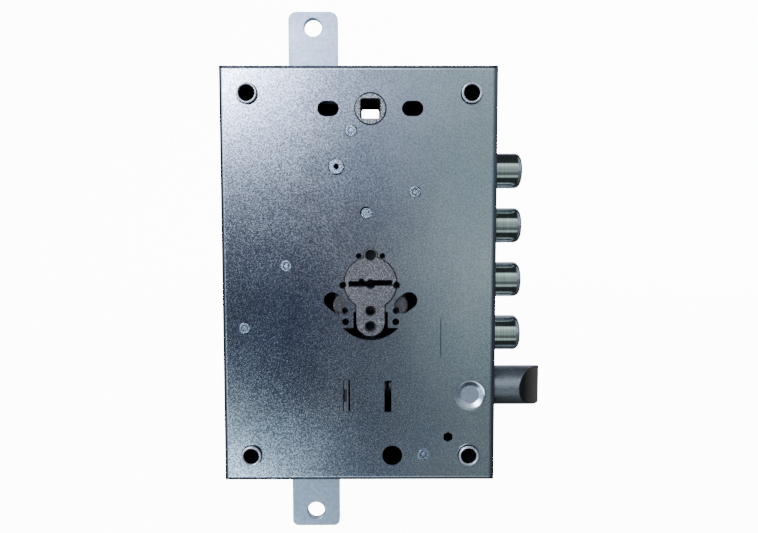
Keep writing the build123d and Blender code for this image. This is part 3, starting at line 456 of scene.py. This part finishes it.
def scratch_mask(s):
    """1 along the upright scratch beside the bolts."""
    across = s.math("ABSOLUTE", s.math("SUBTRACT", s.axis("X"), SCRATCH[0]))
    along = s.math("ABSOLUTE", s.math("SUBTRACT", s.axis("Z"), SCRATCH[1]))
    return s.product(
        s.span(across, SCRATCH_HALF[0], SCRATCH_HALF[0] + 0.00023, 1, 0),
        s.span(along, SCRATCH_HALF[1], SCRATCH_HALF[1] + 0.0025, 1, 0),
        s.on_face(),
    )


def bend_shade_masks(s):
    """Outer edges of the left and the right bend of the sheet, where shade is painted dark."""
    x = s.axis("X")
    y = s.axis("Y")
    bend_end = CASE_LOW[1] + 0.0025
    left = s.product(
        s.span(x, CASE_LOW[0] + 0.0017, CASE_LOW[0] + 0.0023, 1.0, 0.0),
        s.span(y, bend_end, bend_end + 0.0030, 1.0, 0.0),
    )
    right = s.product(
        s.span(x, CASE_HIGH[0] - 0.0032, CASE_HIGH[0] - 0.0018),
        s.span(y, bend_end, bend_end + 0.0005, 1.0, 0.0),
    )
    return left, right


def case_sheet():
    """Zinc-plated sheet: cloudy blue-grey, fine grain, faint upright brushing on the right, with painted
    shade and a painted dim reflection.
    """
    s = Shade("case_sheet")
    x = s.axis("X")
    cloud = s.noise(26, detail=5)
    color = s.ramp(cloud, [(0.32, grey(0.56, BLUE)), (0.68, grey(0.68, (0.95, 0.98, 1.10)))])
    # the grain is stronger at the left
    grain = s.noise(1350, detail=2, rough=0.6)
    left = s.span(x, -0.035, 0.020, 1.0, 0.30)
    dark_grain = s.product(s.span(grain, 0.38, 0.52, 0.85, 0.0), left)
    color = s.mix(dark_grain, color, grey(0.20, BLUE))
    bright_grain = s.product(s.span(grain, 0.52, 0.64, 0.0, 0.95), left)
    color = s.mix(bright_grain, color, grey(1.0, (0.94, 0.99, 1.06)))
    # painted dim reflection: the zinc darker and bluer left of the core, broken by the cloud noise
    dim_reflection = s.product(s.patch(*DIM_REFLECTION_PATCH), s.span(cloud, 0.30, 0.60, 0.6, 1.0), s.on_face())
    color = s.mix(dim_reflection, color, s.mix(1.0, color, (0.52, 0.56, 0.72), "MULTIPLY"))
    brushing = s.noise(900, stretch=(1.0, 1.0, 0.02), detail=2)
    brushed = s.product(s.span(x, 0.0, 0.045), s.span(brushing, 0.40, 0.75), 0.22)
    color = s.mix(brushed, color, grey(0.50, GREEN))
    color = s.mix(s.product(scratch_mask(s), 0.75), color, grey(0.03))
    scuffs = s.span(s.noise(330, stretch=(1.0, 1.0, 0.35), detail=5, rough=0.7), 0.68, 0.74)
    color = s.mix(s.product(scuffs, 0.35), color, grey(0.62, BLUE))
    # painted shade on the outer edges of the two bends
    left_bend_shade, right_bend_shade = bend_shade_masks(s)
    color = s.mix(s.product(right_bend_shade, 0.85), color, grey(0.05, BLUE))
    color = s.mix(s.product(left_bend_shade, 0.92), color, grey(0.10, BLUE))
    rough = s.span(s.noise(40, detail=2), 0.3, 0.7, 0.13, 0.17)
    # painted shade inside the case and on the walls of holes
    painted_shade = s.math("MAXIMUM", s.shade_inside_case(), s.shade_in_holes())
    # painted shade round the rivets and the posts on the face
    for places, (inner, outer) in ((RIVET_CENTRES, RIVET_SHADE_RING), (POST_CENTRES, POST_SHADE_RING)):
        ring_shade = s.product(s.on_face(), s.rings(places, inner, outer))
        painted_shade = s.math("MAXIMUM", painted_shade, ring_shade)
    return s.finish(color, rough, 0.95, [(grain, 0.05, 0.0002), (brushing, 0.03, 0.0001)], painted_shade)


def zinc(name, low, high, tint, roughness, scale=700, bump=0.12, bore_y=None, inside_shade=0.9):
    """Plated or turned steel with fine grain, cloudiness and fine scratches.

    Within the case it carries painted shade by inside_shade. With bore_y it carries painted shade instead
    wherever it is nearer than that to the middle of the depth, as in a bore.
    """
    s = Shade(name)
    grain = s.noise(scale, detail=3)
    cloud = s.noise(45, detail=4)
    color = s.ramp(grain, [(0.30, grey(low, tint)), (0.72, grey(high, tint))])
    color = s.mix(s.span(cloud, 0.35, 0.65, 0.0, 0.4), color, s.mix(1.0, color, grey(0.62, tint), "MULTIPLY"))
    scratches = s.span(s.noise(2600, stretch=(0.05, 1.0, 1.0), detail=2), 0.66, 0.72)
    color = s.mix(s.product(scratches, 0.35), color, grey(high * 1.25, tint))
    # painted shade inside the case, or in the bore
    if bore_y is None:
        painted_shade = s.product(s.shade_inside_case(), inside_shade)
    else:
        painted_shade = s.span(s.math("ABSOLUTE", s.axis("Y")), bore_y - 0.0008, bore_y, 1.0, 0.0)
    rough = s.span(cloud, 0.3, 0.7, roughness * 0.85, roughness * 1.2)
    return s.finish(color, rough, 0.92, [(grain, bump, 0.0002)], painted_shade)


def rivet_steel():
    """Riveted ends: dull mottled steel with a dark ring round the middle of each head."""
    s = Shade("rivet_steel")
    grain = s.noise(1700, detail=3)
    color = s.ramp(grain, [(0.32, grey(0.06, BLUE)), (0.50, grey(0.34, BLUE)), (0.70, grey(0.75, BLUE))])
    color = s.mix(s.product(s.rings(RIVET_CENTRES, *RIVET_HEAD_RING), 0.8), color, grey(0.02))
    # painted shade inside the case
    painted_shade = s.product(s.shade_inside_case(), 0.9)
    return s.finish(color, s.span(grain, 0.3, 0.7, 0.18, 0.30), 0.92, [(grain, 0.8, 0.0002)], painted_shade)


def cast_core():
    """Sintered and die-cast core: coarse bright and dark speckle on warm grey."""
    s = Shade("core_casting")
    speck = s.noise(2400, detail=3, rough=0.7)
    coarse = s.noise(700, detail=4, rough=0.6)
    color = s.ramp(speck, [
        (0.34, (0.022, 0.020, 0.020)), (0.47, (0.105, 0.098, 0.100)),
        (0.56, (0.19, 0.175, 0.18)), (0.68, (0.50, 0.48, 0.49)),
    ])
    color = s.mix(s.span(coarse, 0.4, 0.65, 0.0, 0.35), color, (0.07, 0.066, 0.067))
    # painted shade inside the case, at a little over half strength
    painted_shade = s.product(s.shade_inside_case(), 0.55)
    bumps = [(speck, 0.45, 0.0004), (coarse, 0.25, 0.0005)]
    return s.finish(color, s.span(coarse, 0.3, 0.7, 0.36, 0.55), 0.75, bumps, painted_shade)


def polished_bolt():
    """Turned and polished dark steel: fine rings across the bolt."""
    s = Shade("bolt_steel")
    rings = s.noise(1800, stretch=(1.0, 0.01, 0.01), detail=2)
    wear = s.noise(220, stretch=(0.3, 1, 1), detail=4)
    color = s.ramp(rings, [(0.3, (0.48, 0.52, 0.54)), (0.7, (0.72, 0.77, 0.79))])
    color = s.mix(s.span(wear, 0.55, 0.75, 0.0, 0.5), color, (0.70, 0.72, 0.72))
    return s.finish(color, s.span(wear, 0.3, 0.7, 0.07, 0.13), 1.0, [(rings, 0.06, 0.0001)])


BEVEL_START = (0.0763, -0.0102)   # X and Y where the latch's bevel begins
BEVEL_END = (0.0892, 0.0020)      # and where it ends, at the tip


def latch_finish():
    """Sintered latch: satin dark grey with fine grain, and painted shade on the bevel, near black where it
    begins and dull brown at the tip.
    """
    s = Shade("latch_steel")
    x = s.axis("X")
    grain = s.noise(1700, detail=3)
    cloud = s.noise(160, detail=4)
    color = s.ramp(grain, [(0.3, (0.13, 0.135, 0.145)), (0.72, (0.30, 0.31, 0.335))])
    color = s.mix(s.span(cloud, 0.45, 0.7, 0.0, 0.5), color, (0.17, 0.165, 0.17))
    slope = (BEVEL_END[1] - BEVEL_START[1]) / (BEVEL_END[0] - BEVEL_START[0])
    along = s.math("SUBTRACT", x, BEVEL_START[0])
    bevel_y = s.math("ADD", s.math("MULTIPLY", along, slope), BEVEL_START[1])
    off_bevel = s.math("SUBTRACT", s.axis("Y"), bevel_y)
    # painted shade on the bevel face, near black turning dull brown towards the tip
    bevel_shade = s.mix(s.span(x, BEVEL_START[0] + 0.003, BEVEL_END[0]), grey(0.03), (0.34, 0.31, 0.24))
    color = s.mix(s.span(off_bevel, 0.0001, 0.0004, 1.0, 0.0), color, bevel_shade)
    return s.finish(color, s.span(cloud, 0.3, 0.7, 0.32, 0.46), 0.9, [(grain, 0.25, 0.0002)])


def dark_hard():
    """Hardened dark steel deep in the core."""
    s = Shade("guard_steel")
    grain = s.noise(900, detail=3)
    color = s.ramp(grain, [(0.3, (0.012, 0.012, 0.013)), (0.7, (0.035, 0.035, 0.037))])
    return s.finish(color, 0.5, 0.8, [(grain, 0.2, 0.0002)])


def lever_finish():
    """Blanked steel lever, dark, under painted shade all over as it lies inside the case."""
    s = Shade("lever_steel")
    grain = s.noise(800, stretch=(0.1, 1, 1), detail=3)
    cloud = s.noise(90, detail=4)
    color = s.ramp(grain, [(0.3, (0.05, 0.05, 0.055)), (0.7, (0.11, 0.11, 0.12))])
    color = s.mix(s.span(cloud, 0.4, 0.7, 0.0, 0.5), color, (0.03, 0.03, 0.03))
    # painted shade: the lever darkened all over
    color = s.mix(0.7, color, (0.012, 0.012, 0.013))
    return s.finish(color, s.span(cloud, 0.3, 0.7, 0.28, 0.45), 0.95, [(grain, 0.15, 0.0002)])


studio_world()

MATERIALS = {
    "case_sheet": case_sheet(),
    "bush_steel": zinc(
        "bush_steel", 0.50, 0.95, (0.98, 0.98, 1.04), 0.42, scale=1300, bore_y=0.0168,
    ),
    "rivet_steel": rivet_steel(),
    "spring_steel": zinc("spring_steel", 0.20, 0.40, (1.0, 1.0, 1.0), 0.25),
    "core_casting": cast_core(),
    "inner_sheet": zinc("inner_sheet", 0.26, 0.50, (0.98, 0.98, 1.06), 0.20, scale=1800),
    "bolt_steel": polished_bolt(),
    "rod_zinc": zinc("rod_zinc", 0.42, 0.62, (0.88, 0.98, 1.16), 0.36, scale=500, inside_shade=0.0),
    "latch_steel": latch_finish(),
    "hub_steel": zinc(
        "hub_steel", 0.04, 0.45, (1.0, 1.0, 1.0), 0.34, scale=1500, bump=0.9, bore_y=0.0151,
    ),
    "guard_steel": dark_hard(),
    "lever_steel": lever_finish(),
}

slot_of = {row["node"]: row["material_slot"] for row in frame["record"]["subparts"]}
for name, obj in nodes.items():
    obj.data.materials.clear()
    obj.data.materials.append(MATERIALS[slot_of[name]])


# ------------------------------------------------------------------ softened edges

ROD_EDGE = 0.0005

for rod in ("top_rod", "bottom_rod"):
    bevel = nodes[rod].modifiers.new("soft_edge", "BEVEL")
    bevel.width = ROD_EDGE
    bevel.segments = 3
    bevel.limit_method = "ANGLE"
    bevel.angle_limit = math.radians(35)
